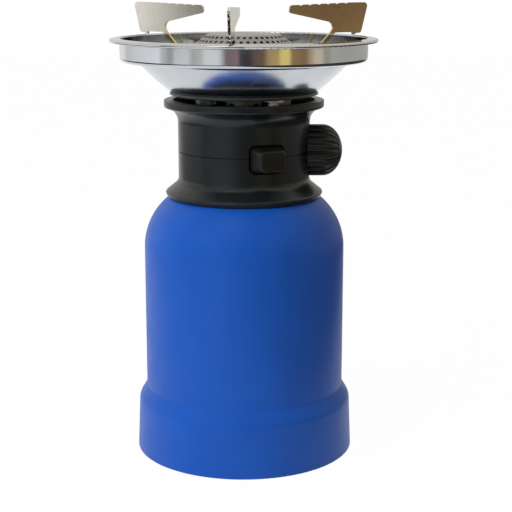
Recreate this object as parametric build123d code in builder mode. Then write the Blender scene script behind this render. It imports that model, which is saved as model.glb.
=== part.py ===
from build123d import *
import math
import os

os.makedirs("parts", exist_ok=True)

# Portable gas stove for one pierceable cartridge. The origin is on the stove's axis, on the surface
# it stands on. The knob points along +X and the front is towards -Y.

# Clearances
overrun = 2.0
slip = 0.05
shell_gap = 0.35
lug_play = 0.15

# Gas cartridge
cartridge_r = 45.0
cartridge_h = 94.0
can_wall = 0.5
can_shoulder_r = 20.0
can_foot_r = 40.0
can_foot_round = 2.5
can_bow_h = 8.0

# Base cup that holds the cartridge from below
cup_lift = 1.2
cup_floor_z = 5.0
cup_floor_t = 2.5
cup_wall = 2.2
cup_gap = 0.4
cup_rim_h = 18.8
grip_length = 70.0
grip_width = 8.0
grip_rise = 0.6
lug_count = 3
lug_h = 3.0
lug_z = 8.0
lug_arc = 50
cup_lug_arc = 49
stop_arc = 3
lug_gap = 0.4

# Bell
bell_wall = 1.8
cartridge_gap = 0.35
shoulder_flare = 3.55
foot_flare = 1.05
skirt_h = 25.0
crease_rise = 6.0
skirt_round = 6.0
crease_round = 2.0
foot_round = 0.6
bell_side_h = 98.0
dome_r = 30.0

# Neck of the bell
neck_r = 13.0
neck_bush_h = 24.0
bush_flange_r = 17.0
bush_flange_t = 1.5
ring_nut_flats = 29.0
ring_nut_h = 4.0

# Valve body
stem_r = 10.0
stem_clear = 1.5
gasket_r = 8.0
gasket_t = 3.0
inlet_r = 3.0
needle_r = 1.6
needle_bore_r = 0.6
needle_head_h = 5.5
needle_reach = 3.5
needle_bevel_h = 2.4
filter_h = 6.0
gas_way_r = 1.2
lock_nut_flats = 26.0
lock_nut_h = 3.0
lock_nut_gap = 0.3
valve_flange_r = 14.0
valve_flange_t = 3.0
spindle_rise = 8.3
barrel_r = 9.0
barrel_h = 18.7
nipple_r = 6.0
nipple_h = 6.0
side_boss_r = 6.5
side_boss_x = 18.0
seat_r = 0.8
seat_x = 2.0
outlet_r = 0.9

# Spindle, its seal and its gland nut
spindle_r = 2.5
spindle_tip_r = 0.9
spindle_cone_h = 3.15
spindle_flat_share = 0.68
spindle_round_reach = 0.3
ring_section_r = 0.8
seal_depth = 2.2
gland_flats = 15.0
gland_x = 14.0
gland_end_t = 3.0

# Hand collar
collar_r = 30.7
collar_wall = 2.2
collar_floor_t = 2.5
waist_drop = 14.1
waist_round = 4.0
lip_reach = 6.3
lip_slope = 39
lip_round = 0.9
lip_face = 1.3
lip_land = 1.2
waist_rise = 19.0
flange_reach = 6.5
flange_slope = 11.7
flange_round_share = 1.016
flange_edge_round = 1.0
flange_top_round = 0.4
collar_top_rise = 23.7
mouth_reach = 2.3
mouth_depth = 2.8
mouth_cone_h = 8.0
seam_gap = 0.36
seam_depth = 1.0

# Screws that join the two halves of the collar
screw_r = 1.5
screw_hole_r = 1.7
screw_head_r = 2.8
screw_head_gap = 0.2
screw_head_h = 2.0
screw_angles = (40, 140, -140, -40)
screw_boss_r = 3.4
screw_boss_rise = 10.4
screw_tip_gap = 2.0

# Knob
knob_r = 11.95
knob_set_in = 1.4
knob_side_l = 7.4
knob_dome_l = 9.2
knob_wall = 2.15
knob_hub_r = 5.2
knob_hollow_l = 10.7
knob_pocket_gap = 0.6
knob_back_gap = 0.4
knob_pad_t = 2.5
knob_pad_rim = 1.65
spindle_hole_gap = 1.5
flute_count = 22
flute_r = 1.3
flute_depth = 0.8
flute_bend_r = 9.5
flute_bend = 60

# Igniter button in the seam of the collar
button_angle = -69.5
button_drop = 0.6
button_root_depth = 5.4
button_w = 15.2
button_h = 11.6
button_round = 2.2
button_straight_l = 4.3
button_taper_l = 8.6
button_tip_w = 11.3
button_tip_h = 9.6
button_tip_round = 1.0
button_gap = 0.9
button_flange_w = 17.8
button_flange_h = 14.4
button_flange_t = 1.6
button_travel = 4.5

# Spark generator and its plunger
piezo_w = 6.5
piezo_h = 8.0
piezo_inner = 9.2
piezo_depth = 4.7
piezo_socket_l = 9.0
piezo_play = 0.5
plunger_w = 4.0
plunger_reach = 5.7
plunger_depth = 8.7
pedestal_inner = 14.6
pedestal_outer = 20.4
pedestal_rib_t = 1.2
pedestal_rib_h = 3.5

# Stacked plates above the collar
deck_gap = 1.9
bracket_t = 1.5
bracket_r = 32.0
bracket_window_r = 6.5
bracket_window_ring_r = 21.0
shield_t = 0.6
shield_r = 34.4
shield_rim_h = 0.8
shield_round = 0.6
deck_hole_gap = 0.1

# Mixing tube, injector and burner nut
tube_r = 8.0
tube_above_floor = 10.2
air_hole_r = 2.0
air_hole_rise = 10.0
air_hole_angles = (45, 135)
burner_nut_r = 10.7
burner_nut_h = 2.6
spanner_notch_w = 2.5
spanner_notch_depth = 1.2
injector_r = 2.4
injector_shank_l = 4.5
injector_hex_flats = 7.0
injector_hex_h = 3.5
injector_tip_h = 1.0
injector_tip_taper = 30
injector_bore_r = 0.5

# Pan
pan_t = 0.5
pan_floor_r = 34.2
pan_side_share = 0.604
pan_side_rise_share = 0.549
pan_ledge_w = 8.25
pan_ledge_rise = 13.3
pan_band_r = 56.85
pan_ledge_slope_rise = 0.4
pan_depth = 23.9
rim_w = 4.6
rim_fall = 0.45
rim_lip_h = 0.95
rim_curl_w = 1.2
rim_curl_h = 0.2
pan_floor_round = 1.5
pan_side_round = 105.0
pan_ledge_round = 2.0
pan_band_round = 1.6
rim_round = 0.5
rim_edge_round = 0.5
rim_curl_round = 0.4

# Burner cup and cap
cup_flange_r = 12.0
cup_flange_t = 1.2
cup_neck_wall = 2.0
cup_neck_h = 6.2
cup_funnel_h = 11.5
cup_lip_h = 0.6
cup_sheet = 0.8
cap_t = 0.6
cap_r = 25.35
cap_flat_r = 16.6
cap_rise = 6.2
cap_skirt_h = 1.4
cap_round = 0.8
cap_lift = 0.6
port_r = 0.85
port_sides = 8
port_count = 42
port_rows = 3
port_row_step = 2.4
port_first_r = 18.0
port_first_turn = -88.4

# Bolts that hold the pan and heat shield to the bracket
bolt_count = 2
bolt_ring_r = 17.8
bolt_r = 2.5
bolt_flats = 8.0
bolt_head_h = 3.5
support_nut_h = 4.2
nut_turns = (30, 0)
bolt_end = 0.3

# Pan supports
support_count = 3
first_support_angle = 25
blade_t = 1.2
blade_h = 14.35
blade_corner_r = 65.0
blade_land_l = 10.0
blade_end_lean = 3.7
blade_tip_r = 23.2
blade_tip_fall = 1.0
blade_tip_h = 3.5
nub_set_in = 2.9
nub_w = 1.7
nub_h = 0.63
nub_gap = 0.12
arch_l = 9.3
arch_h = 0.4
leg_w = 2.0
leg_inner_r = 27.3
leg_knee_r = 30.1
leg_knee_rise = 7.75
strut_w = 1.8
throat_set_in = 0.5
throat_share = 0.324
blade_corner_round = 1.7
blade_lower_round = 1.5
nub_round = 0.2
arch_round = 0.6
throat_round = 2.6
bridge_round = 1.7
leg_round = 3.0
tip_round = 1.5
notch_r = 1.0
notch_depth = 0.45
notch_count = 6
notch_step = 4.8
notch_set_in = 1.9
foot_t = 1.2
foot_inner_r = 14.0
foot_outer_r = 26.0
foot_half_w = 2.5
foot_round_r = 2.0

# Spark electrode
electrode_ring_r = 27.0
electrode_angle = -60
insulator_r = 2.4
insulator_below = 10.2
insulator_above = 12.2
insulator_shoulder_r = 3.8
insulator_shoulder_h = 2.2
insulator_tip_r = 1.7
pin_r = 0.7
pin_below = 1.5
pin_lean = 1.5
pin_bend_r = 4.0
pin_reach = 1.3
clip_r = 4.5
clip_t = 0.8
lead_drop = 7.0
lead_rise = 4.0
lead_bend_r = 3.4
lead_ring_r = 14.0

# Radii of the bell and of what turns inside its skirt
bell_r = cartridge_r + cartridge_gap + bell_wall
shoulder_r = bell_r + shoulder_flare
foot_r = shoulder_r + foot_flare
crease_z = skirt_h + crease_rise
dome_centre_r = bell_r - dome_r
cup_inner_r = cartridge_r + cup_gap
cup_outer_r = cup_inner_r + cup_wall
cup_lug_z = lug_z + lug_h + lug_play

# Collar, and where the knob and the igniter stand against its wall
lip_r = collar_r + lip_reach
flange_r = collar_r + flange_reach
mouth_r = collar_r + mouth_reach
knob_face_x = collar_r - knob_set_in
spindle_round_x = collar_r + spindle_round_reach
button_root = collar_r - button_root_depth
piezo_outer = collar_r - piezo_depth
plunger_end = collar_r + plunger_reach
plunger_start = collar_r - plunger_depth

# Heights, from the cartridge up to the neck
cartridge_z = cup_floor_z + cup_floor_t
cartridge_top_z = cartridge_z + cartridge_h
can_shoulder_z = cartridge_top_z - can_shoulder_r
stem_z = cartridge_top_z + stem_clear
inlet_z = cartridge_top_z + gasket_t
crown_z = bell_side_h + dome_r
neck_top_z = crown_z + bush_flange_t

# Heights of the collar and valve
lock_nut_z = neck_top_z + lock_nut_gap
collar_floor_z = lock_nut_z + lock_nut_h
valve_flange_z = collar_floor_z + collar_floor_t
spindle_z = valve_flange_z + spindle_rise
seam_z = spindle_z
barrel_top_z = valve_flange_z + barrel_h
nipple_top_z = barrel_top_z + nipple_h
collar_inner_r = collar_r - collar_wall
screw_ring_r = collar_inner_r - screw_head_r - screw_head_gap
collar_top_z = seam_z + collar_top_rise
button_z = seam_z - button_drop
screw_boss_top_z = seam_z + screw_boss_rise

# Heights of the plates, pan and burner
bracket_z = collar_top_z + deck_gap
shield_z = bracket_z + bracket_t
pan_z = shield_z + shield_t
pan_floor_z = pan_z + pan_t
tube_top_z = pan_floor_z + tube_above_floor
cup_neck_r = tube_r + cup_neck_wall
cup_neck_top_z = pan_floor_z + cup_neck_h
cup_lip_z = cup_neck_top_z + cup_funnel_h + cup_lip_h
cap_edge_z = cup_lip_z + cap_lift
pan_mid_z = pan_z + pan_t / 2
rim_z = pan_mid_z + pan_depth
nub_z = rim_z + pan_t / 2 + nub_gap
blade_bottom_z = nub_z + nub_h
blade_top_z = blade_bottom_z + blade_h

# Places round the axis
screw_places = [
    (screw_ring_r * math.cos(math.radians(a)), screw_ring_r * math.sin(math.radians(a))) for a in screw_angles
]
electrode_x = electrode_ring_r * math.cos(math.radians(electrode_angle))
electrode_y = electrode_ring_r * math.sin(math.radians(electrode_angle))
spindle_axis = Axis((0, 0, spindle_z), (1, 0, 0))


def dome_z(radius):
    """Height of the bell's dome at a radius."""
    return bell_side_h + math.sqrt(dome_r**2 - (radius - dome_centre_r) ** 2)


def skirt_inner_r(height):
    """Inner radius of the bell's skirt at a height below its shoulder."""
    return foot_r - foot_flare * height / skirt_h - bell_wall


def upright_plane(angle):
    """Upright plane through the axis: local x runs outward at this angle and local y runs up."""
    turn = math.radians(angle)
    out = (math.cos(turn), math.sin(turn), 0)
    across = (math.sin(turn), -math.cos(turn), 0)
    return Plane(origin=(0, 0, 0), x_dir=out, z_dir=across)


def level_plane(angle, height):
    """Level plane at a height: local x runs outward at this angle."""
    turn = math.radians(angle)
    return Plane(origin=(0, 0, height), x_dir=(math.cos(turn), math.sin(turn), 0), z_dir=(0, 0, 1))


def facing_plane(angle, reach, height):
    """Upright plane that faces outward at this angle: local x runs sideways and local y runs up."""
    turn = math.radians(angle)
    out = (math.cos(turn), math.sin(turn), 0)
    side = (-math.sin(turn), math.cos(turn), 0)
    return Plane(origin=(reach * out[0], reach * out[1], height), x_dir=side, z_dir=out)


def knob_plane():
    """Half plane through the knob's axis: local x runs along the axis and local y upward."""
    return Plane(origin=(0, 0, spindle_z), x_dir=(1, 0, 0), z_dir=(0, -1, 0))


def ring_sector(inner_r, outer_r, bottom_z, height, start, arc, mode=Mode.ADD):
    """Block bent round the axis: a rectangle on the upright plane at the start angle, turned by the arc."""
    with BuildSketch(upright_plane(start)) as section:
        with Locations(((inner_r + outer_r) / 2, bottom_z + height / 2)):
            Rectangle(outer_r - inner_r, height)
    revolve(section.sketch, axis=Axis.Z, revolution_arc=arc, mode=mode)


def drill(radius, bottom_z, top_z):
    """Cut a round hole on the axis from one height up to another."""
    with BuildSketch(Plane.XY.offset(bottom_z)) as hole:
        Circle(radius)
    extrude(hole.sketch, amount=top_z - bottom_z, mode=Mode.SUBTRACT)


def bell_outline(inset, bottom_z):
    """Half section of the bell with its surface moved in by inset: skirt, crease, wall, dome, flat crown."""
    wall_r = bell_r - inset
    arc_r = dome_r - inset
    FilletPolyline(
        (foot_r - inset, bottom_z),
        (shoulder_r - inset, skirt_h),
        (wall_r, crease_z),
        (wall_r, bell_side_h),
        radius=[skirt_round - inset, crease_round + inset],
    )
    CenterArc((dome_centre_r, bell_side_h), arc_r, 0, 90)
    Polyline(
        (dome_centre_r, bell_side_h + arc_r),
        (0, bell_side_h + arc_r),
        (0, bottom_z),
        (foot_r - inset, bottom_z),
    )


def can_outline(inset):
    """Half section of the cartridge moved in by inset: hollow bottom, foot, wall, round shoulder, top."""
    wall_r = cartridge_r - inset
    bottom_z = cartridge_z + inset
    shoulder_r = can_shoulder_r - inset
    TangentArc((0, bottom_z + can_bow_h), (can_foot_r, bottom_z), tangent=(1, 0))
    FilletPolyline(
        (can_foot_r, bottom_z),
        (wall_r, bottom_z),
        (wall_r, can_shoulder_z),
        radius=can_foot_round - inset,
    )
    CenterArc((wall_r - shoulder_r, can_shoulder_z), shoulder_r, 0, 90)
    Polyline(
        (wall_r - shoulder_r, can_shoulder_z + shoulder_r),
        (0, can_shoulder_z + shoulder_r),
        (0, bottom_z + can_bow_h),
    )


def knob_pocket():
    """Cut the round pocket in the collar behind the knob, and the hole for the spindle."""
    with BuildSketch(Plane.YZ.offset(knob_face_x - knob_back_gap)) as pocket:
        with Locations((0, spindle_z)):
            Circle(knob_r + knob_pocket_gap)
    extrude(pocket.sketch, amount=collar_r, mode=Mode.SUBTRACT)
    with BuildSketch(Plane.YZ.offset(side_boss_x)) as hole:
        with Locations((0, spindle_z)):
            Circle(spindle_r + spindle_hole_gap)
    extrude(hole.sketch, amount=collar_r, mode=Mode.SUBTRACT)


def seam_groove():
    """Cut the groove along the seam between the two halves of the collar."""
    ring_sector(
        collar_r - seam_depth, collar_r + overrun, seam_z - seam_gap / 2, seam_gap, 0, 360, Mode.SUBTRACT
    )


def button_opening():
    """Cut the opening with round corners that the igniter button passes through."""
    with BuildSketch(facing_plane(button_angle, piezo_outer, button_z)) as opening:
        RectangleRounded(button_w + 2 * button_gap, button_h + 2 * button_gap, button_round + button_gap)
    extrude(opening.sketch, amount=collar_r, mode=Mode.SUBTRACT)


def deck_holes(bottom_z, height):
    """Cut the holes that the stacked plates share: mixing tube, bolts and the electrode."""
    with BuildSketch(Plane.XY.offset(bottom_z - overrun)) as holes:
        Circle(tube_r + deck_hole_gap)
        with PolarLocations(bolt_ring_r, bolt_count):
            Circle(bolt_r + deck_hole_gap)
        with Locations((electrode_x, electrode_y)):
            Circle(insulator_r + deck_hole_gap)
    extrude(holes.sketch, amount=height + 2 * overrun, mode=Mode.SUBTRACT)


# Bell: blue ABS moulding, open below, with three lugs in its skirt and a hole for the neck
with BuildPart() as bell:
    with BuildSketch(Plane.XZ):
        with BuildLine():
            bell_outline(0, 0)
        make_face()
        with BuildLine():
            bell_outline(bell_wall, -overrun)
        make_face(mode=Mode.SUBTRACT)
    revolve(axis=Axis.Z)
    drill(neck_r, crown_z - bell_wall - overrun, crown_z + overrun)
    fillet(bell.edges().group_by(Axis.Z)[0].sort_by(SortBy.LENGTH)[-1], radius=foot_round)
    lug_root_r = skirt_inner_r(lug_z) + bell_wall / 2
    stop_h = cup_lug_z + lug_h - lug_z + lug_gap
    for place in range(lug_count):
        middle = place * 360 / lug_count
        ring_sector(cup_outer_r + lug_gap, lug_root_r, lug_z, lug_h, middle - lug_arc / 2, lug_arc)
        ring_sector(
            cup_outer_r + lug_gap, lug_root_r, lug_z, stop_h, middle - lug_arc / 2 - stop_arc, stop_arc
        )
bell.part.label = "bell"
export_step(bell.part, "parts/bell.step")

# Base cup: turns in the skirt on three lugs and carries the cartridge on its floor
with BuildPart() as base_cup:
    with BuildSketch(Plane.XZ):
        with BuildLine():
            Polyline(
                (0, cup_floor_z),
                (cup_inner_r, cup_floor_z),
                (cup_inner_r, cup_lift),
                (cup_outer_r, cup_lift),
                (cup_outer_r, cup_lift + cup_rim_h),
                (cup_inner_r, cup_lift + cup_rim_h),
                (cup_inner_r, cartridge_z),
                (0, cartridge_z),
                close=True,
            )
        make_face()
    revolve(axis=Axis.Z)
    cup_lug_r = skirt_inner_r(cup_lug_z + lug_h) - shell_gap
    for place in range(lug_count):
        middle = place * 360 / lug_count
        ring_sector(
            cup_outer_r - cup_wall / 2, cup_lug_r, cup_lug_z, lug_h, middle - cup_lug_arc / 2, cup_lug_arc
        )
    with BuildSketch(Plane.XY.offset(cup_lift + grip_rise)):
        SlotOverall(grip_length, grip_width)
    extrude(amount=cup_floor_z - cup_lift - grip_rise + cup_floor_t / 2)
base_cup.part.label = "base_cup"
export_step(base_cup.part, "parts/base_cup.step")

# Cartridge: thin steel can with a domed-in bottom, pierced in the middle of its top
with BuildPart() as gas_cartridge:
    with BuildSketch(Plane.XZ):
        with BuildLine():
            can_outline(0)
        make_face()
        with BuildLine():
            can_outline(can_wall)
        make_face(mode=Mode.SUBTRACT)
    revolve(axis=Axis.Z)
    drill(needle_r + slip, cartridge_top_z - can_wall - overrun, cartridge_top_z + overrun)
gas_cartridge.part.label = "gas_cartridge"
export_step(gas_cartridge.part, "parts/gas_cartridge.step")

# Neck bush: threaded sleeve with a flange on the crown
with BuildPart() as neck_bush:
    with BuildSketch(Plane.XZ):
        with BuildLine():
            Polyline(
                (stem_r + slip, crown_z - neck_bush_h),
                (neck_r, crown_z - neck_bush_h),
                (neck_r, crown_z),
                (bush_flange_r, crown_z),
                (bush_flange_r, neck_top_z),
                (stem_r + slip, neck_top_z),
                close=True,
            )
        make_face()
    revolve(axis=Axis.Z)
neck_bush.part.label = "neck_bush"
export_step(neck_bush.part, "parts/neck_bush.step")

# Neck ring nut: clamps the bush from inside the bell
with BuildPart() as neck_ring_nut:
    with BuildSketch(Plane.XY.offset(crown_z - bell_wall)):
        RegularPolygon(ring_nut_flats / 2, 6, major_radius=False)
        Circle(neck_r, mode=Mode.SUBTRACT)
    extrude(amount=-ring_nut_h)
neck_ring_nut.part.label = "neck_ring_nut"
export_step(neck_ring_nut.part, "parts/neck_ring_nut.step")

# Valve body: threaded stem, flange, barrel with the side boss for the spindle, nipple for the injector
with BuildPart() as valve_body:
    with BuildSketch(Plane.XZ):
        with BuildLine():
            Polyline(
                (0, inlet_z),
                (gasket_r + slip, inlet_z),
                (gasket_r + slip, stem_z),
                (stem_r, stem_z),
                (stem_r, valve_flange_z),
                (valve_flange_r, valve_flange_z),
                (valve_flange_r, valve_flange_z + valve_flange_t),
                (barrel_r, valve_flange_z + valve_flange_t),
                (barrel_r, barrel_top_z),
                (nipple_r, barrel_top_z),
                (nipple_r, nipple_top_z),
                (0, nipple_top_z),
                close=True,
            )
        make_face()
    revolve(axis=Axis.Z)
    with BuildSketch(Plane.YZ):
        with Locations((0, spindle_z)):
            Circle(side_boss_r)
    extrude(amount=side_boss_x)
    drill(inlet_r, inlet_z - overrun, inlet_z + needle_head_h + filter_h)
    drill(gas_way_r, inlet_z, spindle_z)
    drill(injector_r, nipple_top_z - injector_shank_l, nipple_top_z + overrun)
    with BuildSketch(Plane.YZ):
        with Locations((0, spindle_z)):
            Circle(seat_r)
    extrude(amount=side_boss_x, mode=Mode.SUBTRACT)
    with BuildSketch(Plane.YZ.offset(seat_x)):
        with Locations((0, spindle_z)):
            Circle(spindle_r + slip)
    extrude(amount=side_boss_x, mode=Mode.SUBTRACT)
    with BuildSketch(Plane.YZ.offset(side_boss_x - seal_depth)):
        with Locations((0, spindle_z)):
            Circle(spindle_r + slip + 2 * ring_section_r)
    extrude(amount=side_boss_x, mode=Mode.SUBTRACT)
    outlet_start = Vector(seat_x + spindle_cone_h / 2, 0, spindle_z)
    outlet_end = Vector(0, 0, nipple_top_z - injector_shank_l + injector_r)
    with BuildSketch(Plane(origin=outlet_start, z_dir=outlet_end - outlet_start)):
        Circle(outlet_r)
    extrude(amount=(outlet_end - outlet_start).length, mode=Mode.SUBTRACT)
valve_body.part.label = "valve_body"
export_step(valve_body.part, "parts/valve_body.step")

# Piercing needle: hollow steel needle with a bevelled point, its head pressed into the stem
with BuildPart() as piercing_needle:
    needle_z = cartridge_top_z - needle_reach
    with BuildSketch(Plane.XZ):
        with BuildLine():
            Polyline(
                (needle_bore_r, needle_z),
                (needle_r, needle_z + needle_bevel_h),
                (needle_r, inlet_z),
                (inlet_r, inlet_z),
                (inlet_r, inlet_z + needle_head_h),
                (needle_bore_r, inlet_z + needle_head_h),
                close=True,
            )
        make_face()
    revolve(axis=Axis.Z)
piercing_needle.part.label = "piercing_needle"
export_step(piercing_needle.part, "parts/piercing_needle.step")

# Cartridge gasket: rubber ring round the needle
with BuildPart() as cartridge_gasket:
    with BuildSketch(Plane.XY.offset(cartridge_top_z)):
        Circle(gasket_r)
        Circle(needle_r, mode=Mode.SUBTRACT)
    extrude(amount=gasket_t)
cartridge_gasket.part.label = "cartridge_gasket"
export_step(cartridge_gasket.part, "parts/cartridge_gasket.step")

# Inlet filter: sintered plug above the needle
with BuildPart() as inlet_filter:
    with BuildSketch(Plane.XY.offset(inlet_z + needle_head_h)):
        Circle(inlet_r)
    extrude(amount=filter_h)
inlet_filter.part.label = "inlet_filter"
export_step(inlet_filter.part, "parts/inlet_filter.step")

# Collar lock nut: clamps the floor of the collar to the flange of the valve
with BuildPart() as collar_lock_nut:
    with BuildSketch(Plane.XY.offset(lock_nut_z)):
        RegularPolygon(lock_nut_flats / 2, 6, major_radius=False)
        Circle(stem_r, mode=Mode.SUBTRACT)
    extrude(amount=lock_nut_h)
collar_lock_nut.part.label = "collar_lock_nut"
export_step(collar_lock_nut.part, "parts/collar_lock_nut.step")

# Valve spindle: needle cone, round shank and a flat for the knob
with BuildPart() as valve_spindle:
    spindle_end_x = knob_face_x + knob_hollow_l
    cone_x = seat_x + slip
    with BuildSketch(knob_plane()):
        with BuildLine():
            Polyline(
                (cone_x, 0),
                (cone_x, spindle_tip_r),
                (cone_x + spindle_cone_h, spindle_r),
                (spindle_end_x, spindle_r),
                (spindle_end_x, 0),
                close=True,
            )
        make_face()
    revolve(axis=spindle_axis)
    with BuildSketch(Plane.YZ.offset(spindle_round_x)):
        with Locations((0, spindle_z + spindle_r * spindle_flat_share)):
            Rectangle(2 * spindle_r, spindle_r, align=(Align.CENTER, Align.MIN))
    extrude(amount=spindle_end_x, mode=Mode.SUBTRACT)
valve_spindle.part.label = "valve_spindle"
export_step(valve_spindle.part, "parts/valve_spindle.step")

# Spindle O-ring in the counterbore of the side boss
with BuildPart() as spindle_o_ring:
    ring_x = side_boss_x - seal_depth / 2
    with BuildSketch(knob_plane()):
        with Locations((ring_x, spindle_r + slip + ring_section_r)):
            Circle(ring_section_r)
    revolve(axis=spindle_axis)
spindle_o_ring.part.label = "spindle_o_ring"
export_step(spindle_o_ring.part, "parts/spindle_o_ring.step")

# Gland nut: hexagonal cap screwed over the side boss
with BuildPart() as gland_nut:
    with BuildSketch(Plane.YZ.offset(gland_x)):
        with Locations((0, spindle_z)):
            RegularPolygon(gland_flats / 2, 6, major_radius=False)
    extrude(amount=side_boss_x + gland_end_t - gland_x)
    with BuildSketch(Plane.YZ.offset(gland_x)):
        with Locations((0, spindle_z)):
            Circle(side_boss_r)
    extrude(amount=side_boss_x - gland_x, mode=Mode.SUBTRACT)
    with BuildSketch(Plane.YZ.offset(gland_x)):
        with Locations((0, spindle_z)):
            Circle(spindle_r + slip)
    extrude(amount=side_boss_x, mode=Mode.SUBTRACT)
gland_nut.part.label = "gland_nut"
export_step(gland_nut.part, "parts/gland_nut.step")

# Injector: brass jet screwed into the nipple
with BuildPart() as injector:
    jet_top_z = nipple_top_z + injector_hex_h
    with BuildSketch(Plane.XY.offset(nipple_top_z - injector_shank_l)):
        Circle(injector_r)
    extrude(amount=injector_shank_l)
    with BuildSketch(Plane.XY.offset(nipple_top_z)):
        RegularPolygon(injector_hex_flats / 2, 6, major_radius=False)
    extrude(amount=injector_hex_h)
    with BuildSketch(Plane.XY.offset(jet_top_z)):
        Circle(injector_r)
    extrude(amount=injector_tip_h, taper=injector_tip_taper)
    drill(injector_bore_r, barrel_top_z, jet_top_z + injector_tip_h + overrun)
injector.part.label = "injector"
export_step(injector.part, "parts/injector.step")

# Lower half of the collar: waist, spreading lip over the dome, floor, screw bosses, igniter pedestal
with BuildPart() as collar_lower:
    lip_z = seam_z - waist_drop - (lip_r - collar_r) * math.tan(math.radians(lip_slope))
    lip_under_r = lip_r - lip_face
    lip_inner_r = lip_under_r - lip_land
    lip_inner_z = dome_z(lip_inner_r) + shell_gap
    inner_waist_z = lip_inner_z + (lip_inner_r - collar_inner_r) * math.tan(math.radians(lip_slope))
    with BuildSketch(Plane.YZ.offset(knob_face_x - knob_back_gap - knob_pad_t)):
        with Locations((0, spindle_z)):
            Circle(knob_r + knob_pad_rim + knob_pocket_gap)
            Rectangle(lip_r, lip_r, align=(Align.CENTER, Align.MIN), mode=Mode.SUBTRACT)
    extrude(amount=collar_r)
    with BuildSketch(Plane.XY.offset(collar_floor_z - lip_r)):
        Circle(collar_r)
    extrude(amount=2 * lip_r, mode=Mode.INTERSECT)
    with BuildSketch(Plane.XZ):
        with BuildLine():
            FilletPolyline(
                (collar_r, seam_z),
                (collar_r, seam_z - waist_drop),
                (lip_r, lip_z),
                (lip_under_r, dome_z(lip_under_r) + shell_gap),
                (lip_inner_r, lip_inner_z),
                (collar_inner_r, inner_waist_z),
                radius=[waist_round, lip_round, 0, 0],
            )
            Polyline(
                (collar_inner_r, inner_waist_z),
                (collar_inner_r, collar_floor_z),
                (stem_r + deck_hole_gap, collar_floor_z),
                (stem_r + deck_hole_gap, valve_flange_z),
                (collar_inner_r, valve_flange_z),
                (collar_inner_r, seam_z),
                (collar_r, seam_z),
            )
        make_face()
    revolve(axis=Axis.Z)
    with BuildSketch(Plane.XY.offset(collar_floor_z)):
        with Locations(*screw_places):
            Circle(screw_boss_r)
    extrude(amount=seam_z - collar_floor_z)
    with BuildSketch(facing_plane(button_angle, pedestal_inner, button_z - piezo_h / 2)):
        with Locations((0, pedestal_rib_h)):
            Rectangle(
                piezo_w + 2 * pedestal_rib_t,
                button_z - piezo_h / 2 + pedestal_rib_h - valve_flange_z,
                align=(Align.CENTER, Align.MAX),
            )
        Rectangle(piezo_w, pedestal_rib_h + overrun, align=(Align.CENTER, Align.MIN), mode=Mode.SUBTRACT)
    extrude(amount=pedestal_outer - pedestal_inner)
    with BuildSketch(Plane.XY.offset(collar_floor_z - overrun)):
        with Locations(*screw_places):
            Circle(screw_hole_r)
    extrude(amount=seam_z - collar_floor_z + 2 * overrun, mode=Mode.SUBTRACT)
    knob_pocket()
    seam_groove()
    button_opening()
collar_lower.part.label = "collar_lower"
export_step(collar_lower.part, "parts/collar_lower.step")

# Upper half of the collar: waist and flange, open above under the pan
with BuildPart() as collar_upper:
    flange_z = seam_z + waist_rise + (flange_r - collar_r) * math.tan(math.radians(flange_slope))
    with BuildSketch(Plane.YZ.offset(knob_face_x - knob_back_gap - knob_pad_t)):
        with Locations((0, spindle_z)):
            Circle(knob_r + knob_pad_rim + knob_pocket_gap)
            Rectangle(lip_r, lip_r, align=(Align.CENTER, Align.MAX), mode=Mode.SUBTRACT)
    extrude(amount=collar_r)
    with BuildSketch(Plane.XY.offset(seam_z)):
        Circle(collar_r)
    extrude(amount=2 * lip_r, mode=Mode.INTERSECT)
    with BuildSketch(Plane.XZ):
        with BuildLine():
            FilletPolyline(
                (collar_r, seam_z),
                (collar_r, seam_z + waist_rise),
                (flange_r, flange_z),
                (flange_r, collar_top_z),
                (mouth_r, collar_top_z),
                radius=[flange_round_share * (flange_r - collar_r), flange_edge_round, flange_top_round],
            )
            Polyline(
                (mouth_r, collar_top_z),
                (mouth_r, collar_top_z - mouth_depth),
                (collar_inner_r, collar_top_z - mouth_depth - mouth_cone_h),
                (collar_inner_r, seam_z),
                (collar_r, seam_z),
            )
        make_face()
    revolve(axis=Axis.Z)
    with BuildSketch(Plane.XY.offset(seam_z)):
        with Locations(*screw_places):
            Circle(screw_boss_r)
    extrude(amount=screw_boss_rise)
    with BuildSketch(Plane.XY.offset(seam_z - overrun)):
        with Locations(*screw_places):
            Circle(screw_r)
    extrude(amount=screw_boss_rise + 2 * overrun, mode=Mode.SUBTRACT)
    knob_pocket()
    seam_groove()
    button_opening()
collar_upper.part.label = "collar_upper"
export_step(collar_upper.part, "parts/collar_upper.step")

# Collar screws: four, from below the floor up into the upper half
with BuildPart() as collar_screws:
    screw_z = collar_floor_z - screw_head_h
    with BuildSketch(Plane.XY.offset(screw_z)):
        with Locations(*screw_places):
            Circle(screw_head_r)
    extrude(amount=screw_head_h)
    with BuildSketch(Plane.XY.offset(collar_floor_z)):
        with Locations(*screw_places):
            Circle(screw_r)
    extrude(amount=screw_boss_top_z - screw_tip_gap - collar_floor_z)
collar_screws.part.label = "collar_screws"
export_step(collar_screws.part, "parts/collar_screws.step")

# Cutter for one flute of the knob: along the straight side, then bending in less than the dome does
with BuildPart() as flute_cutter:
    flute_y = knob_r + flute_r - flute_depth
    flute_side_x = knob_face_x + knob_side_l
    with BuildLine(knob_plane()):
        Line((knob_face_x - overrun, flute_y), (flute_side_x, flute_y))
        JernArc((flute_side_x, flute_y), (1, 0), flute_bend_r, -flute_bend)
    with BuildSketch(Plane(origin=(knob_face_x - overrun, 0, spindle_z + flute_y), z_dir=(1, 0, 0))):
        Circle(flute_r)
    sweep()

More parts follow.
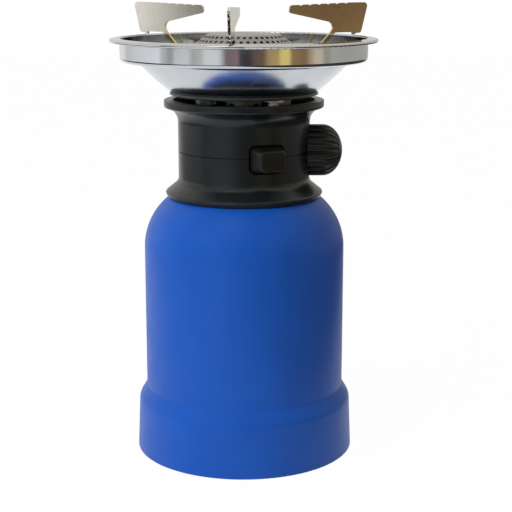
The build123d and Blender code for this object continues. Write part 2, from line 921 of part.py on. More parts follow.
# Knob: domed cap with flutes, hollow round its hub
with BuildPart() as knob:
    with BuildSketch(knob_plane()):
        with BuildLine():
            Polyline((knob_face_x, 0), (knob_face_x, knob_r), (flute_side_x, knob_r))
            EllipticalCenterArc((flute_side_x, 0), knob_dome_l, knob_r, 0, arc_size=90)
            Line((flute_side_x + knob_dome_l, 0), (knob_face_x, 0))
        make_face()
    revolve(axis=spindle_axis)
    for flute in range(flute_count):
        turned = flute_cutter.part.rotate(spindle_axis, flute * 360 / flute_count)
        add(turned, mode=Mode.SUBTRACT)
    with BuildSketch(Plane.YZ.offset(knob_face_x - overrun)):
        with Locations((0, spindle_z)):
            Circle(knob_r - knob_wall)
            Circle(knob_hub_r, mode=Mode.SUBTRACT)
    extrude(amount=knob_hollow_l + overrun, mode=Mode.SUBTRACT)
    with BuildSketch(Plane.YZ.offset(knob_face_x - overrun)):
        with Locations((0, spindle_z)):
            Circle(spindle_r)
    extrude(amount=spindle_round_x - knob_face_x + overrun, mode=Mode.SUBTRACT)
    with BuildSketch(Plane.YZ.offset(spindle_round_x)):
        with Locations((0, spindle_z)):
            Circle(spindle_r)
        with Locations((0, spindle_z + spindle_r * spindle_flat_share)):
            Rectangle(
                2 * spindle_r, spindle_r, align=(Align.CENTER, Align.MIN), mode=Mode.SUBTRACT
            )
    extrude(amount=spindle_end_x - spindle_round_x, mode=Mode.SUBTRACT)
knob.part.label = "knob"
export_step(knob.part, "parts/knob.step")

# Igniter button: tapered block with round corners, flanged inside the wall, hollow over the spark generator
with BuildPart() as piezo_button:
    taper_start = button_root + button_straight_l
    button_tip = taper_start + button_taper_l
    with BuildSketch(facing_plane(button_angle, button_root, button_z)):
        RectangleRounded(button_w, button_h, button_round)
    extrude(amount=button_straight_l)
    with BuildSketch(facing_plane(button_angle, taper_start, button_z)):
        RectangleRounded(button_w, button_h, button_round)
    with BuildSketch(facing_plane(button_angle, button_tip, button_z)):
        RectangleRounded(button_tip_w, button_tip_h, button_round)
    loft()
    tip_face = piezo_button.faces().sort_by(Axis((0, 0, 0), facing_plane(button_angle, 0, 0).z_dir))[-1]
    fillet(tip_face.edges(), radius=button_tip_round)
    with BuildSketch(facing_plane(button_angle, button_root, button_z)):
        RectangleRounded(button_flange_w, button_flange_h, button_round)
    extrude(amount=button_flange_t)
    with BuildSketch(facing_plane(button_angle, button_root - overrun, button_z)):
        Rectangle(piezo_w + 2 * piezo_play, piezo_h + 2 * piezo_play)
    extrude(
        amount=piezo_outer + button_travel + piezo_play - button_root + overrun, mode=Mode.SUBTRACT
    )
    with BuildSketch(facing_plane(button_angle, button_root - overrun, button_z)):
        Rectangle(plunger_w, plunger_w)
    extrude(amount=plunger_end - button_root + overrun, mode=Mode.SUBTRACT)
piezo_button.part.label = "piezo_button"
export_step(piezo_button.part, "parts/piezo_button.step")

# Plunger between the button and the spark generator
with BuildPart() as piezo_plunger:
    with BuildSketch(facing_plane(button_angle, plunger_start, button_z)):
        Rectangle(plunger_w, plunger_w)
    extrude(amount=plunger_end - plunger_start)
piezo_plunger.part.label = "piezo_plunger"
export_step(piezo_plunger.part, "parts/piezo_plunger.step")

# Spark generator: sealed block on its pedestal, with the socket for the plunger
with BuildPart() as piezo_unit:
    with BuildSketch(facing_plane(button_angle, piezo_inner, button_z)):
        Rectangle(piezo_w, piezo_h)
    extrude(amount=piezo_outer - piezo_inner)
    with BuildSketch(facing_plane(button_angle, piezo_outer - piezo_socket_l, button_z)):
        Rectangle(plunger_w + 2 * slip, plunger_w + 2 * slip)
    extrude(amount=piezo_socket_l + overrun, mode=Mode.SUBTRACT)
piezo_unit.part.label = "piezo_unit"
export_step(piezo_unit.part, "parts/piezo_unit.step")

# Mixing tube: steel tube over the nipple, with air holes beside the jet
with BuildPart() as mixing_tube:
    with BuildSketch(Plane.XY.offset(barrel_top_z)):
        Circle(tube_r)
        Circle(nipple_r, mode=Mode.SUBTRACT)
    extrude(amount=tube_top_z - barrel_top_z)
    for angle in air_hole_angles:
        with BuildSketch(facing_plane(angle, -tube_r - overrun, barrel_top_z + air_hole_rise)):
            Circle(air_hole_r)
        extrude(amount=2 * (tube_r + overrun), mode=Mode.SUBTRACT)
mixing_tube.part.label = "mixing_tube"
export_step(mixing_tube.part, "parts/mixing_tube.step")

# Burner nut: ring on the mixing tube with two spanner notches
with BuildPart() as burner_nut:
    with BuildSketch(Plane.XY.offset(bracket_z - burner_nut_h)):
        Circle(burner_nut_r)
        Circle(tube_r, mode=Mode.SUBTRACT)
        with PolarLocations(burner_nut_r, 2):
            Rectangle(2 * spanner_notch_depth, spanner_notch_w, mode=Mode.SUBTRACT)
    extrude(amount=burner_nut_h)
burner_nut.part.label = "burner_nut"
export_step(burner_nut.part, "parts/burner_nut.step")

# Burner bracket: plate with two windows that carries the heat shield and pan
with BuildPart() as burner_bracket:
    with BuildSketch(Plane.XY.offset(bracket_z)):
        Circle(bracket_r)
        with PolarLocations(bracket_window_ring_r, bolt_count, start_angle=180 / bolt_count):
            Circle(bracket_window_r, mode=Mode.SUBTRACT)
    extrude(amount=bracket_t)
    deck_holes(bracket_z, bracket_t)
burner_bracket.part.label = "burner_bracket"
export_step(burner_bracket.part, "parts/burner_bracket.step")

# Heat shield: black sheet disc with its edge turned down
with BuildPart() as heat_shield:
    with BuildSketch(Plane.XZ):
        with BuildLine():
            FilletPolyline(
                (tube_r, shield_z + shield_t / 2),
                (shield_r - shield_t / 2, shield_z + shield_t / 2),
                (shield_r - shield_t / 2, shield_z - shield_rim_h),
                radius=shield_round,
            )
        trace(line_width=shield_t)
    revolve(axis=Axis.Z)
    deck_holes(shield_z, shield_t)
heat_shield.part.label = "heat_shield"
export_step(heat_shield.part, "parts/heat_shield.step")

# Pan: pressed bowl with a flat floor, bowed sloping side, ledge, upright band and thin rolled rim
with BuildPart() as pan:
    pan_ledge_r = pan_band_r - pan_ledge_w
    pan_side_r = pan_floor_r + (pan_ledge_r - pan_floor_r) * pan_side_share
    rim_r = pan_band_r + rim_w
    with BuildSketch(Plane.XZ):
        with BuildLine():
            FilletPolyline(
                (tube_r, pan_mid_z),
                (pan_floor_r, pan_mid_z),
                (pan_side_r, pan_mid_z + pan_ledge_rise * pan_side_rise_share),
                (pan_ledge_r, pan_mid_z + pan_ledge_rise),
                (pan_band_r, pan_mid_z + pan_ledge_rise + pan_ledge_slope_rise),
                (pan_band_r, rim_z),
                (rim_r, rim_z - rim_fall),
                (rim_r, rim_z - rim_fall - rim_lip_h),
                (rim_r - rim_curl_w, rim_z - rim_fall - rim_lip_h - rim_curl_h),
                radius=[
                    pan_floor_round,
                    pan_side_round,
                    pan_ledge_round,
                    pan_band_round,
                    rim_round,
                    rim_edge_round,
                    rim_curl_round,
                ],
            )
        trace(line_width=pan_t)
    revolve(axis=Axis.Z)
    deck_holes(pan_z, pan_t)
pan.part.label = "pan"
export_step(pan.part, "parts/pan.step")

# Burner cup: flanged neck over the mixing tube, opening into a funnel under the cap
with BuildPart() as burner_cup:
    lip_outer_r = cap_r - cap_t - slip
    funnel_top_z = cup_neck_top_z + cup_funnel_h
    with BuildSketch(Plane.XZ):
        with BuildLine():
            Polyline(
                (tube_r, pan_floor_z),
                (cup_flange_r, pan_floor_z),
                (cup_flange_r, pan_floor_z + cup_flange_t),
                (cup_neck_r, pan_floor_z + cup_flange_t),
                (cup_neck_r, cup_neck_top_z),
                (lip_outer_r, funnel_top_z),
                (lip_outer_r, cup_lip_z),
                (lip_outer_r - cup_sheet, cup_lip_z),
                (lip_outer_r - cup_sheet, funnel_top_z + cup_sheet / 2),
                (tube_r, cup_neck_top_z - cup_sheet / 2),
                close=True,
            )
        make_face()
    revolve(axis=Axis.Z)
burner_cup.part.label = "burner_cup"
export_step(burner_cup.part, "parts/burner_cup.step")

# Burner cap: pressed cone with a flat top, a short skirt over the cup and three rows of flame ports
with BuildPart() as burner_cap:
    cap_mid_r = cap_r - cap_t / 2
    cap_mid_z = cap_edge_z + cap_rise
    cone_fall = cap_rise / (cap_mid_r - cap_flat_r)
    with BuildSketch(Plane.XZ):
        with BuildLine():
            FilletPolyline(
                (0, cap_mid_z),
                (cap_flat_r, cap_mid_z),
                (cap_mid_r, cap_edge_z),
                (cap_mid_r, cap_edge_z - cap_skirt_h),
                radius=cap_round,
            )
        trace(line_width=cap_t)
    revolve(axis=Axis.Z)
    for row in range(port_rows):
        port_ring_r = port_first_r + row * port_row_step
        port_turn = port_first_turn + (row % 2) * 180 / port_count
        for port in range(port_count):
            port_z = cap_mid_z - (port_ring_r - cap_flat_r) * cone_fall
            turn = math.radians(port_turn + port * 360 / port_count)
            out = Vector(math.cos(turn), math.sin(turn), 0)
            slope_normal = (out * cone_fall + Vector(0, 0, 1)).normalized()
            seat = out * port_ring_r + Vector(0, 0, port_z)
            with BuildSketch(Plane(origin=seat - slope_normal * cap_t, z_dir=slope_normal)):
                RegularPolygon(port_r, port_sides)
    extrude(amount=2 * cap_t, mode=Mode.SUBTRACT)
burner_cap.part.label = "burner_cap"
export_step(burner_cap.part, "parts/burner_cap.step")

# Support bolts: two hexagon bolts down through pan, shield and bracket
with BuildPart() as support_bolts:
    with BuildSketch(Plane.XY.offset(pan_floor_z)):
        with PolarLocations(bolt_ring_r, bolt_count):
            RegularPolygon(bolt_flats / 2, 6, major_radius=False)
    extrude(amount=bolt_head_h)
    bolt_end_z = bracket_z - support_nut_h - bolt_end
    with BuildSketch(Plane.XY.offset(bolt_end_z)):
        with PolarLocations(bolt_ring_r, bolt_count):
            Circle(bolt_r)
    extrude(amount=pan_floor_z - bolt_end_z)
support_bolts.part.label = "support_bolts"
export_step(support_bolts.part, "parts/support_bolts.step")

# Support nuts: two, under the bracket, each as its last turn left it
with BuildPart() as support_nuts:
    with BuildSketch(Plane.XY.offset(bracket_z - support_nut_h)):
        for place, turn in enumerate(nut_turns):
            with PolarLocations(bolt_ring_r, 1, start_angle=place * 360 / bolt_count):
                RegularPolygon(bolt_flats / 2, 6, major_radius=False, rotation=turn)
                Circle(bolt_r, mode=Mode.SUBTRACT)
    extrude(amount=support_nut_h)
support_nuts.part.label = "support_nuts"
export_step(support_nuts.part, "parts/support_nuts.step")

# Pan supports: flat steel blades with a toothed top and a nub on the pan's rim; a thin leg slopes down to a
# foot that is bent sideways and welded to the floor of the pan
knee_z = pan_floor_z + leg_knee_rise
leg_outer_r = leg_inner_r + leg_w
end_foot_r = blade_corner_r - blade_end_lean
nub_outer_r = end_foot_r - nub_set_in
nub_inner_r = nub_outer_r - nub_w
arch_z = blade_bottom_z + arch_h
arch_r = nub_inner_r - arch_l
strut_slope = (arch_z - knee_z) / (arch_r - leg_knee_r)
strut_rise = strut_w * math.sqrt(strut_slope**2 + 1)
inner_knee_z = knee_z + strut_rise - (leg_knee_r - leg_inner_r) * strut_slope
leg_top_r = leg_knee_r + (blade_bottom_z - knee_z - strut_rise) / strut_slope
throat_r = arch_r + throat_set_in
throat_z = blade_bottom_z + blade_h * throat_share
blade_points = [
    (blade_tip_r, blade_top_z - blade_tip_fall),
    (blade_corner_r - blade_land_l, blade_top_z),
    (blade_corner_r, blade_top_z),
    (end_foot_r, blade_bottom_z),
    (nub_outer_r, blade_bottom_z),
    (nub_outer_r, nub_z),
    (nub_inner_r, nub_z),
    (nub_inner_r, arch_z),
    (arch_r, arch_z),
    (leg_knee_r, knee_z),
    (leg_outer_r, pan_floor_z),
    (leg_inner_r, pan_floor_z),
    (leg_inner_r, inner_knee_z),
    (leg_top_r, blade_bottom_z),
    (throat_r, throat_z),
    (blade_tip_r, blade_top_z - blade_tip_fall - blade_tip_h),
]
blade_rounds = [
    tip_round,
    0,
    blade_corner_round,
    blade_lower_round,
    nub_round,
    nub_round,
    nub_round,
    nub_round,
    arch_round,
    leg_round,
    0,
    0,
    leg_round,
    bridge_round,
    throat_round,
    tip_round,
]
supports = ("pan_support_right", "pan_support_left", "pan_support_front")
for place, support_name in enumerate(supports):
    support_angle = first_support_angle + place * 360 / support_count
    with BuildPart() as pan_support:
        with BuildSketch(upright_plane(support_angle)):
            with BuildLine():
                FilletPolyline(*blade_points, radius=blade_rounds, close=True)
            make_face()
            for notch in range(notch_count):
                notch_at_r = blade_corner_r - blade_land_l - notch_set_in - notch * notch_step
                fall_share = (notch_set_in + notch * notch_step) / (
                    blade_corner_r - blade_land_l - blade_tip_r
                )
                notch_z = blade_top_z - blade_tip_fall * fall_share
                with Locations((notch_at_r, notch_z + notch_r - notch_depth)):
                    Circle(notch_r, mode=Mode.SUBTRACT)
        extrude(amount=blade_t / 2, both=True)
        with BuildSketch(level_plane(support_angle, pan_floor_z)):
            with Locations(((foot_inner_r + foot_outer_r) / 2, 0)):
                RectangleRounded(foot_outer_r - foot_inner_r, 2 * foot_half_w, foot_round_r)
            with Locations((foot_outer_r - foot_round_r, -blade_t / 2)):
                Rectangle(
                    leg_outer_r - foot_outer_r + foot_round_r,
                    foot_half_w + blade_t / 2,
                    align=(Align.MIN, Align.MIN),
                )
        extrude(amount=foot_t)
    pan_support.part.label = support_name
    export_step(pan_support.part, f"parts/{support_name}.step")

# Electrode insulator: ceramic sleeve with a shoulder on the floor of the pan
with BuildPart() as electrode_insulator:
    insulator_z = pan_floor_z - insulator_below
    insulator_top_z = pan_floor_z + insulator_above
    with BuildSketch(Plane(origin=(electrode_x, electrode_y, 0), x_dir=(1, 0, 0), z_dir=(0, -1, 0))):
        with BuildLine():
            Polyline(
                (pin_r, insulator_z),
                (insulator_r, insulator_z),
                (insulator_r, pan_floor_z),
                (insulator_shoulder_r, pan_floor_z),
                (insulator_shoulder_r, pan_floor_z + insulator_shoulder_h),
                (insulator_r, pan_floor_z + insulator_shoulder_h),
                (insulator_tip_r, insulator_top_z),
                (pin_r, insulator_top_z),
                close=True,
            )
        make_face()
    revolve(axis=Axis((electrode_x, electrode_y, 0), (0, 0, 1)))
electrode_insulator.part.label = "electrode_insulator"
export_step(electrode_insulator.part, "parts/electrode_insulator.step")

# Electrode pin: wire through the insulator, leaning out beside the edge of the cap
with BuildPart() as electrode_pin:
    pin_z = insulator_z - pin_below
    lean_share = (electrode_ring_r + pin_lean) / electrode_ring_r
    with BuildLine():
        FilletPolyline(
            (electrode_x, electrode_y, pin_z),
            (electrode_x, electrode_y, insulator_top_z + pin_below),
            (electrode_x * lean_share, electrode_y * lean_share, cap_edge_z + pin_reach),
            radius=pin_bend_r,
        )
    with BuildSketch(Plane.XY.offset(pin_z)):
        with Locations((electrode_x, electrode_y)):
            Circle(pin_r)
    sweep()
electrode_pin.part.label = "electrode_pin"
export_step(electrode_pin.part, "parts/electrode_pin.step")

# Electrode clip: spring ring pushed up the insulator against the bracket
with BuildPart() as electrode_clip:
    with BuildSketch(Plane.XY.offset(bracket_z - clip_t)):
        with Locations((electrode_x, electrode_y)):
            Circle(clip_r)
            Circle(insulator_r, mode=Mode.SUBTRACT)
    extrude(amount=clip_t)
electrode_clip.part.label = "electrode_clip"
export_step(electrode_clip.part, "parts/electrode_clip.step")

# Ignition wire: from the top of the spark generator up to the foot of the pin
with BuildPart() as ignition_wire:
    lead_turn = math.radians(button_angle)
    lead_x = lead_ring_r * math.cos(lead_turn)
    lead_y = lead_ring_r * math.sin(lead_turn)
    piezo_top_z = button_z + piezo_h / 2
    with BuildLine():
        FilletPolyline(
            (electrode_x, electrode_y, pin_z),
            (electrode_x, electrode_y, pin_z - lead_drop),
            (lead_x, lead_y, piezo_top_z + lead_rise),
            (lead_x, lead_y, piezo_top_z),
            radius=lead_bend_r,
        )
    with BuildSketch(Plane.XY.offset(pin_z)):
        with Locations((electrode_x, electrode_y)):
            Circle(pin_r)
    sweep()
ignition_wire.part.label = "ignition_wire"
export_step(ignition_wire.part, "parts/ignition_wire.step")
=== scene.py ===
"""Looks of the portable gas stove: finishes, fine surfaces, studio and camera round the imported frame."""

import math
from collections import namedtuple

import bpy
import numpy as np
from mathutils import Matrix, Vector

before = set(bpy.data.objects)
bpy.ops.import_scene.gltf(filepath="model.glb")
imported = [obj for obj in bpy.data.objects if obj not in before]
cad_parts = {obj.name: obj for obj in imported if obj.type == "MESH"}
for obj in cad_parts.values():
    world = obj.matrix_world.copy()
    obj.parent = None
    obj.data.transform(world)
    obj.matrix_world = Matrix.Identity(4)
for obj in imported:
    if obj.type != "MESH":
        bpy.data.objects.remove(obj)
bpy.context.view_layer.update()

MM = 0.001
EVEN = (1, 1, 1)
LEVEL = (1, 1, 0)
UPRIGHT = (0, 0, 1)
# Nearly all of a noise lies between these two values.
NOISE_LOW, NOISE_HIGH = 0.3, 0.7

# A grain's features have this size in millimetres, its detail adds finer ones, and its stretch makes them
# shorter along an axis, or longer where it is below 1. One that runs around the stove's axis has radius,
# angle and height for its axes. Marks finer than 0.3 mm on the real stove are drawn coarser, so they show.
Grain = namedtuple("Grain", "size detail stretch around", defaults=(3.0, EVEN, False))


# Colours and nodes

def srgb(code):
    """Linear colour of an sRGB hex code: each channel over 12.92, or its gamma curve above 0.04045."""
    values = [int(code[i:i + 2], 16) / 255 for i in (1, 3, 5)]
    linear = [v / 12.92 if v <= 0.04045 else ((v + 0.055) / 1.055) ** 2.4 for v in values]
    return (*linear, 1.0)


def add_node(tree, kind, values=None, links=None, **settings):
    """Add a node with its settings and input values, its inputs linked to sockets or nodes' first output."""
    node = tree.nodes.new(kind)
    for name, setting in settings.items():
        setattr(node, name, setting)
    for socket, value in (values or {}).items():
        node.inputs[socket].default_value = value
    for socket, source in (links or {}).items():
        output = source.outputs[0] if isinstance(source, bpy.types.Node) else source
        tree.links.new(output, node.inputs[socket])
    return node


def empty_tree(owner):
    """The node tree of a new material or world, without the nodes that Blender puts there."""
    owner.use_nodes = True
    owner.node_tree.nodes.clear()
    return owner.node_tree


def start_material(name):
    """A new material with an empty tree, and the object's own coordinates in millimetres."""
    material = bpy.data.materials.new(name)
    tree = empty_tree(material)
    metres = add_node(tree, "ShaderNodeTexCoord").outputs["Object"]
    place = add_node(
        tree, "ShaderNodeVectorMath", {1: (1 / MM,) * 3}, {0: metres}, operation="MULTIPLY"
    )
    return material, tree, place


def end_material(tree, values, links):
    """Principled surface and output that close a material."""
    surface = add_node(tree, "ShaderNodeBsdfPrincipled", values, links)
    add_node(tree, "ShaderNodeOutputMaterial", links={"Surface": surface})


def round_the_axis(tree, place):
    """Radius, angle round the axis and height of a point, as the vector that a turned part's grain follows."""
    split = add_node(tree, "ShaderNodeSeparateXYZ", links={0: place})
    flat = add_node(tree, "ShaderNodeVectorMath", {1: LEVEL}, {0: place}, operation="MULTIPLY")
    radius = add_node(tree, "ShaderNodeVectorMath", links={0: flat}, operation="LENGTH")
    angle = add_node(
        tree, "ShaderNodeMath", links={0: split.outputs["Y"], 1: split.outputs["X"]}, operation="ARCTAN2"
    )
    return add_node(
        tree,
        "ShaderNodeCombineXYZ",
        links={0: radius.outputs["Value"], 1: angle, 2: split.outputs["Z"]},
    )


def noise_of(tree, place, grain):
    """Noise of a grain: the place, turned round the axis if the grain is, times stretch over size."""
    if grain.around:
        place = round_the_axis(tree, place)
    scale = tuple(share / grain.size for share in grain.stretch)
    scaled = add_node(tree, "ShaderNodeVectorMath", {1: scale}, {0: place}, operation="MULTIPLY")
    return add_node(
        tree, "ShaderNodeTexNoise", {"Scale": 1.0, "Detail": grain.detail}, {"Vector": scaled}
    ).outputs["Fac"]


def product_of_ramps(tree, *ramps):
    """Product of ramps: each rises from 0 where its source has one value to 1 where it has the other."""
    product = None
    for source, zero_at, one_at in ramps:
        ramp = add_node(
            tree, "ShaderNodeMapRange", {1: zero_at, 2: one_at, 3: 0.0, 4: 1.0}, {0: source}
        )
        if product is None:
            product = ramp
        else:
            product = add_node(tree, "ShaderNodeMath", links={0: product, 1: ramp}, operation="MULTIPLY")
    return product


# Materials, each named for the real one and for how its surface was made

def finish(name, colour, roughness, relief, surface):
    """A material in which colour, roughness and relief follow a grain each.

    colour holds a grain and two hex codes, roughness a grain and two values, relief a grain and its depth in
    millimetres, and surface the values that are the same all over.
    """
    material, tree, place = start_material(name)
    grain, dark, light = colour
    share = product_of_ramps(tree, (noise_of(tree, place, grain), NOISE_LOW, NOISE_HIGH))
    tone = add_node(
        tree, "ShaderNodeMix", {6: srgb(dark), 7: srgb(light)}, {0: share}, data_type="RGBA"
    )
    grain, low, high = roughness
    rough = add_node(
        tree,
        "ShaderNodeMapRange",
        {1: NOISE_LOW, 2: NOISE_HIGH, 3: low, 4: high},
        {0: noise_of(tree, place, grain)},
    )
    grain, depth = relief
    bump = add_node(
        tree,
        "ShaderNodeBump",
        {"Strength": 1.0, "Distance": depth * MM},
        {"Height": noise_of(tree, place, grain)},
    )
    end_material(tree, surface, {"Base Color": tone.outputs[2], "Roughness": rough, "Normal": bump})
    return material


# Moulded plastic has an even colour with faint clouds from the flow of the melt, a sheen that varies a
# little, and the fine grain of a spark-eroded mould, about 0.1 mm and drawn coarser.
FLOW_CLOUDS = Grain(28.0, 2.0)
MOULD_SHEEN = Grain(9.0, 4.0)
SPARK_GRAIN = Grain(0.5, 2.0)
FINE_SPARK_GRAIN = Grain(0.4, 2.0)
SPARK_DEPTH = 0.006

BLUE_ABS = finish(
    "blue moulded ABS",
    (FLOW_CLOUDS, "#044FB0", "#0653B6"),
    (MOULD_SHEEN, 0.41, 0.48),
    (SPARK_GRAIN, SPARK_DEPTH),
    {"IOR": 1.4},
)
BLACK_NYLON = finish(
    "black moulded nylon",
    (FLOW_CLOUDS, "#12171A", "#161B1F"),
    (MOULD_SHEEN, 0.25, 0.32),
    (SPARK_GRAIN, SPARK_DEPTH),
    {"IOR": 1.42},
)
KNOB_NYLON = finish(
    "black knob nylon",
    (FLOW_CLOUDS, "#0D0E0D", "#121312"),
    (MOULD_SHEEN, 0.31, 0.38),
    (FINE_SPARK_GRAIN, SPARK_DEPTH),
    {"IOR": 1.4},
)
WHITE_ACETAL = finish(
    "white moulded acetal",
    (FLOW_CLOUDS, "#D8D7D0", "#E2E1DB"),
    (MOULD_SHEEN, 0.32, 0.39),
    (SPARK_GRAIN, SPARK_DEPTH),
    {"IOR": 1.5},
)

# Pressed stainless steel of the burner: satin, with grain that runs round the axis, drawn coarser than the
# 0.1 mm of the real one, and a warm heat tint
PRESSING_GRAIN = Grain(0.35, 3.0, (1, 1.5, 1), True)
STAINLESS = finish(
    "pressed stainless steel",
    (Grain(11.0), "#979593", "#A5A3A1"),
    (PRESSING_GRAIN, 0.3, 0.4),
    (PRESSING_GRAIN, 0.006),
    {"Metallic": 1.0},
)

# Deep-drawn steel that the flame has darkened: brown-black oxide, dull, with lighter worn spots. The
# zinc-plated burner bracket wears it too, as painted shade under the heat shield.
OXIDE = Grain(5.0, 4.0)
STAIN_AND_SHADE_STEEL = finish(
    "heat-stained steel and painted shade",
    (OXIDE, "#2C2926", "#4A4641"),
    (OXIDE, 0.45, 0.6),
    (OXIDE, 0.01),
    {"Metallic": 1.0},
)

# Barrel zinc plating on fasteners: bluish white metal, dulled by the tumbling, with a soft mottle
TUMBLING_MOTTLE = Grain(3.0, 4.0)
BRIGHT_ZINC = finish(
    "bright zinc plating",
    (TUMBLING_MOTTLE, "#CCCED0", "#E2E3E4"),
    (TUMBLING_MOTTLE, 0.4, 0.5),
    (TUMBLING_MOTTLE, 0.01),
    {"Metallic": 1.0},
)

# Turned brass: yellow metal with fine tool marks round the axis, about 0.1 mm apart and drawn coarser
TOOL_MARKS = Grain(0.3, 2.0, (1, 0.2, 1), True)
BRASS = finish(
    "turned brass",
    (TOOL_MARKS, "#BD9A50", "#D8B96C"),
    (TOOL_MARKS, 0.2, 0.3),
    (TOOL_MARKS, 0.01),
    {"Metallic": 1.0},
)

# Semi-matt black heat-resisting paint with the orange peel of a sprayed coat
SPRAYED_PEEL = Grain(0.9, 2.0)
HEAT_PAINT = finish(
    "black heat-resisting paint",
    (SPRAYED_PEEL, "#272B2F", "#2F3337"),
    (SPRAYED_PEEL, 0.34, 0.46),
    (SPRAYED_PEEL, 0.012),
    {"IOR": 1.5},
)

# White gloss lacquer on the tinplate cartridge, with slight orange peel
ROLLED_PEEL = Grain(1.4, 2.0)
CAN_LACQUER = finish(
    "white lacquer on tinplate",
    (ROLLED_PEEL, "#D3D6D8", "#E0E2E3"),
    (ROLLED_PEEL, 0.24, 0.32),
    (ROLLED_PEEL, 0.008),
    {"IOR": 1.5, "Coat Weight": 0.3},
)

# Moulded nitrile rubber: matt black with a dusty bloom
BLOOM = Grain(2.0, 4.0)
RUBBER = finish(
    "moulded nitrile rubber",
    (BLOOM, "#131313", "#222222"),
    (BLOOM, 0.6, 0.75),
    (BLOOM, 0.01),
    {"IOR": 1.52},
)

# White glazed steatite of the electrode: glossy over a faintly mottled body
GLAZE_MOTTLE = Grain(1.2)
CERAMIC = finish(
    "glazed steatite",
    (GLAZE_MOTTLE, "#E6E2D8", "#F1EEE7"),
    (GLAZE_MOTTLE, 0.2, 0.3),
    (GLAZE_MOTTLE, 0.006),
    {"IOR": 1.55, "Coat Weight": 0.6, "Coat Roughness": 0.08},
)

# Red silicone jacket of the ignition lead: dull, with the skin of the extruder's die
DIE_SKIN = Grain(0.8, 2.0)
SILICONE = finish(
    "extruded silicone jacket",
    (DIE_SKIN, "#8E1F18", "#A42A20"),
    (DIE_SKIN, 0.45, 0.55),
    (DIE_SKIN, 0.006),
    {"IOR": 1.43},
)


def chrome_plated_steel():
    """Bright chrome on a spun steel sheet: polished on the band and rim, where it mirrors the room with the
    slight bends of shallow waves in the sheet, and duller in the bowl and on the cone, where rings of the
    spinning stay. Beyond one radius the pan is bright, and within another the upper side of its bowl has a
    painted warm reflection, a straw tint in its colour.
    """
    rings = Grain(1.6, 2.0, (1, 0.4, 0.6), True)
    ring_depth = 0.003
    waves = Grain(9.0, 1.0)
    wave_depth = 0.05
    smudges = Grain(14.0, 4.0)
    smudge_low, smudge_high = 0.05, 0.1
    dull_within, bright_beyond = 54.5, 56.5
    dullness = 0.1
    warm_reflection_within = 52.0
    level, upward = 0.0, 0.2

    material, tree, place = start_material("chrome plated spun steel")
    radius = add_node(
        tree, "ShaderNodeSeparateXYZ", links={0: round_the_axis(tree, place)}
    ).outputs["X"]
    smudge = noise_of(tree, place, smudges)
    sheen = add_node(
        tree,
        "ShaderNodeMapRange",
        {1: NOISE_LOW, 2: NOISE_HIGH, 3: smudge_low, 4: smudge_high},
        {0: smudge},
    )
    dull = add_node(
        tree, "ShaderNodeMapRange", {1: dull_within, 2: bright_beyond, 3: dullness, 4: 0.0}, {0: radius}
    )
    rough = add_node(tree, "ShaderNodeMath", links={0: dull, 1: sheen}, operation="ADD")
    share = product_of_ramps(tree, (smudge, NOISE_LOW, NOISE_HIGH))
    silver = add_node(
        tree, "ShaderNodeMix", {6: srgb("#C0C4CA"), 7: srgb("#C9CCD0")}, {0: share}, data_type="RGBA"
    )
    # Painted warm reflection: the upper side of the bowl, within a radius, gets a faint straw tint in its
    # colour.
    normal = add_node(tree, "ShaderNodeNewGeometry").outputs["True Normal"]
    facing = add_node(tree, "ShaderNodeSeparateXYZ", links={0: normal}).outputs["Z"]
    warm_reflection_tint = product_of_ramps(tree, (facing, level, upward), (radius, dull_within, warm_reflection_within))
    colour = add_node(
        tree, "ShaderNodeMix", {7: srgb("#CAC4B9")}, {0: warm_reflection_tint, 6: silver.outputs[2]}, data_type="RGBA"
    )
    wavy = add_node(
        tree,
        "ShaderNodeBump",
        {"Strength": 1.0, "Distance": wave_depth * MM},
        {"Height": noise_of(tree, place, waves)},
    )
    ringed = add_node(
        tree,
        "ShaderNodeBump",
        {"Strength": 1.0, "Distance": ring_depth * MM},
        {"Height": noise_of(tree, place, rings), "Normal": wavy},
    )
    end_material(
        tree, {"Metallic": 1.0}, {"Base Color": colour.outputs[2], "Roughness": rough, "Normal": ringed}
    )
    return material


